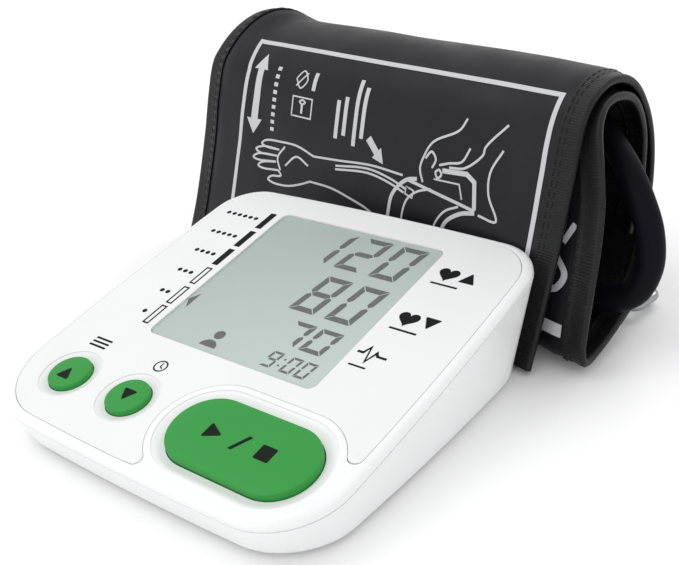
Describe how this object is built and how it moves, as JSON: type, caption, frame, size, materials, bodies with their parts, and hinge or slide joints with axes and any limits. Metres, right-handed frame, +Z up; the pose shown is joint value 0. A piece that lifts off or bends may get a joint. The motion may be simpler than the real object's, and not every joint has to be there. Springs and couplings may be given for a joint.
{
  "type": "upper arm blood pressure monitor",
  "caption": "Wedge-shaped desk blood pressure monitor with display and press keys, and a rolled arm cuff with air hose and ring behind it.",
  "frame": {"origin": "centre of the footprint of the desk unit and rolled cuff together, without the air hose, on the table", "axes": "+Z up, +Y away from the user towards the cuff, +X to the user's right"},
  "size_m": [0.1901, 0.1908, 0.0799],
  "materials": {
    "shell_white": "glossy white moulded shell",
    "button_green": "satin green key",
    "lens_clear": "clear display window",
    "lcd_grey": "grey-green reflective display",
    "light_guide": "white light guide",
    "zebra_rubber": "striped contact rubber",
    "board_green": "solder-masked board",
    "chip_black": "moulded package",
    "spring_steel": "bright nickel-plated steel",
    "black_plastic": "fine-textured black moulding",
    "socket_white": "off-white moulding",
    "valve_tan": "tan moulding",
    "silicone": "translucent silicone tube",
    "foot_rubber": "soft dark rubber",
    "cell_sleeve": "printed cell sleeve",
    "cuff_cloth": "coated woven nylon",
    "cuff_lining": "smooth coated lining",
    "binding_tape": "ribbed binding tape",
    "hook_tape": "hook and loop fastener",
    "bladder_grey": "welded air bladder",
    "chrome_bar": "polished chrome bar",
    "hose_rubber": "matte moulded hose"
  },
  "bodies": {
    "monitor": {"bottom_housing": "shell_white", "top_housing": "shell_white", "face_panel": "shell_white", "display_lens": "lens_clear", "lcd_panel": "lcd_grey", "lcd_backlight": "light_guide", "contact_strip": "zebra_rubber", "circuit_board": "board_green", "controller_chip": "chip_black", "start_switch": "spring_steel", "mem_switch": "spring_steel", "set_switch": "spring_steel", "pump_motor": "spring_steel", "pump_head": "black_plastic", "air_socket": "socket_white", "power_jack": "black_plastic", "release_valve": "valve_tan", "tee_fitting": "socket_white", "pump_tube": "silicone", "socket_tube": "silicone", "valve_tube": "silicone", "pressure_sensor": "chip_black", "sensor_tube": "silicone", "buzzer": "black_plastic", "battery_1": "cell_sleeve", "battery_2": "cell_sleeve", "battery_3": "cell_sleeve", "battery_4": "cell_sleeve", "battery_bridge": "spring_steel", "battery_contact_plus": "spring_steel", "battery_contact_minus": "spring_steel", "case_screw_1": "spring_steel", "case_screw_2": "spring_steel", "case_screw_3": "spring_steel", "case_screw_4": "spring_steel", "foot_1": "foot_rubber", "foot_2": "foot_rubber", "foot_3": "foot_rubber", "foot_4": "foot_rubber"},
    "start_button": {"start_button": "button_green"},
    "mem_button": {"mem_button": "button_green"},
    "set_button": {"set_button": "button_green"},
    "battery_cover": {"battery_cover": "shell_white"},
    "pump_shaft": {"pump_shaft": "spring_steel"},
    "valve_plunger": {"valve_plunger": "spring_steel"},
    "metal_ring": {"metal_ring": "chrome_bar"},
    "cuff": {"cuff_outer_cloth": "cuff_cloth", "cuff_lining": "cuff_lining", "air_bladder": "bladder_grey", "edge_tape_right": "binding_tape", "edge_tape_left": "binding_tape", "hook_patch": "hook_tape", "loop_patch": "hook_tape", "ring_loop": "cuff_cloth", "hose_port": "black_plastic", "air_hose": "hose_rubber", "air_plug": "black_plastic"}
  },
  "joints": [
    {"name": "start_button_press", "type": "slide", "parent": "monitor", "child": "start_button", "axis": [0, 0.1805, -0.9836], "range_m": [0, 0.0008], "stiffness_N_per_m": 900, "springref_m": -0.0005},
    {"name": "mem_button_press", "type": "slide", "parent": "monitor", "child": "mem_button", "axis": [0, 0.1805, -0.9836], "range_m": [0, 0.0008], "stiffness_N_per_m": 600, "springref_m": -0.0005},
    {"name": "set_button_press", "type": "slide", "parent": "monitor", "child": "set_button", "axis": [0, 0.1805, -0.9836], "range_m": [0, 0.0008], "stiffness_N_per_m": 600, "springref_m": -0.0005},
    {"name": "battery_cover_pivot", "type": "hinge", "parent": "monitor", "child": "battery_cover", "pos_m": [0.00938, -0.02166, 0.001], "axis": [-1, 0, 0], "range_deg": [0, 45]},
    {"name": "pump_shaft_spin", "type": "hinge", "parent": "monitor", "child": "pump_shaft", "pos_m": [0.06268, -0.01586, 0.0098], "axis": [0, 1, 0], "continuous": true},
    {"name": "valve_plunger_stroke", "type": "slide", "parent": "monitor", "child": "valve_plunger", "axis": [0, 1, 0], "range_m": [0, 0.0006], "stiffness_N_per_m": 150, "springref_m": -0.0003},
    {"name": "cuff_lift_away", "type": "slide", "parent": "monitor", "child": "cuff", "axis": [0.1392, 0.9903, 0], "range_m": [0, 0.15]},
    {"name": "metal_ring_swing", "type": "hinge", "parent": "cuff", "child": "metal_ring", "pos_m": [0.00645, 0.06106, 0.0036], "axis": [0.9903, -0.1392, 0], "range_deg": [0, 28]}
  ]
}
